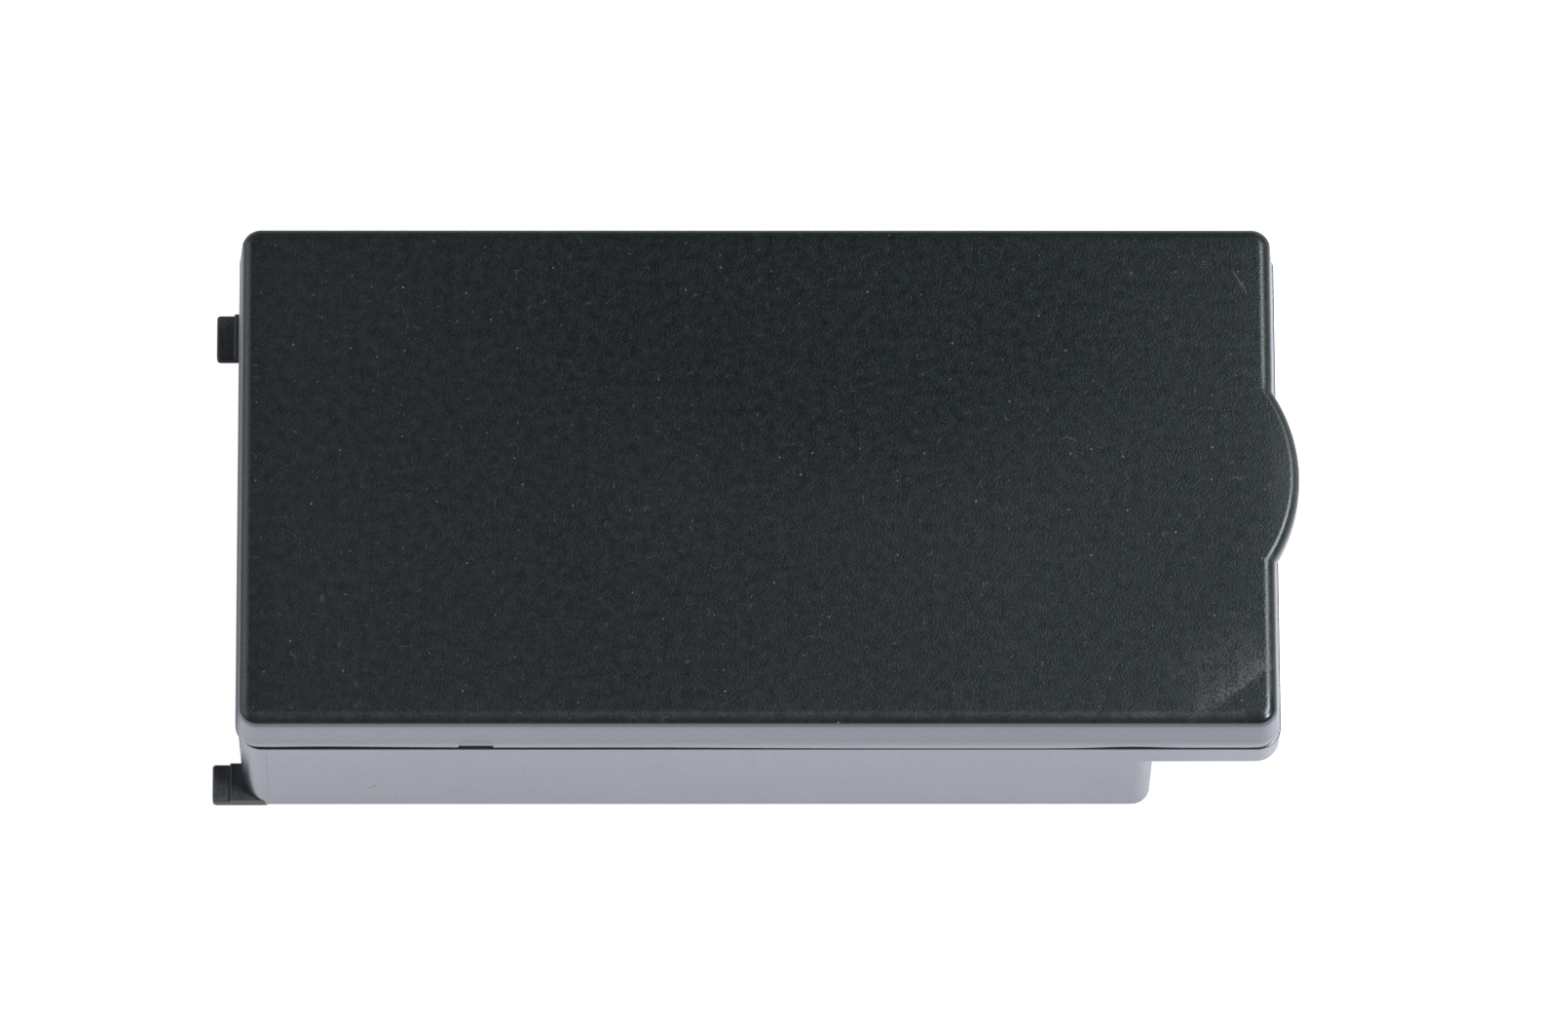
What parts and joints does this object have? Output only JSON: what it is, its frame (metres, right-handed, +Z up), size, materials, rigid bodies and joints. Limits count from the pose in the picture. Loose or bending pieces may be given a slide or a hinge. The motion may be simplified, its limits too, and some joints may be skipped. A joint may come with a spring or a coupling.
{
  "type": "clip-on battery pack",
  "caption": "Flat clip-on lithium battery pack: stepped lower case with hooks at one end, textured cover with a finger lip at the other, cells and protection board inside.",
  "frame": {"origin": "middle of the overall footprint, hooks and lip included, on the flat underside of the deep part", "axes": "+X along the pack from the hooks to the finger lip, +Y to the rear long side, +Z up out of the cover"},
  "size_m": [0.115, 0.057, 0.0242],
  "materials": {
    "cover_plastic": "black, fine spark-eroded texture on top, smoother skirt",
    "case_plastic": "black, smooth satin",
    "cell_can": "drawn, satin",
    "nickel": "rolled, bright",
    "tape": "matt",
    "insulating_paper": "matt fish paper",
    "foam": "fine cell foam",
    "board": "satin solder mask",
    "contact_metal": "thin gold flash",
    "chip_epoxy": "moulded, matt",
    "resistor_body": "glazed film",
    "fuse_ceramic": "ceramic",
    "thermistor_body": "ceramic"
  },
  "bodies": {
    "root": {"top_cover": "cover_plastic", "lower_case": "case_plastic", "cell_1": "cell_can", "cell_2": "cell_can", "cell_3": "cell_can", "cell_4": "cell_can", "cell_5": "cell_can", "cell_6": "cell_can", "strip_1": "nickel", "strip_2": "nickel", "strip_3": "nickel", "strip_4": "nickel", "strip_5": "nickel", "positive_lead": "nickel", "negative_lead": "nickel", "bedding_tape": "tape", "layer_sheet": "insulating_paper", "foam_pad": "foam", "front_paper": "insulating_paper", "rear_paper": "insulating_paper", "protection_board": "board", "contact_1": "contact_metal", "contact_2": "contact_metal", "contact_3": "contact_metal", "contact_4": "contact_metal", "control_chip": "chip_epoxy", "charge_switch": "chip_epoxy", "discharge_switch": "chip_epoxy", "sense_resistor": "resistor_body", "chip_fuse": "fuse_ceramic", "thermistor": "thermistor_body"}
  },
  "joints": []
}
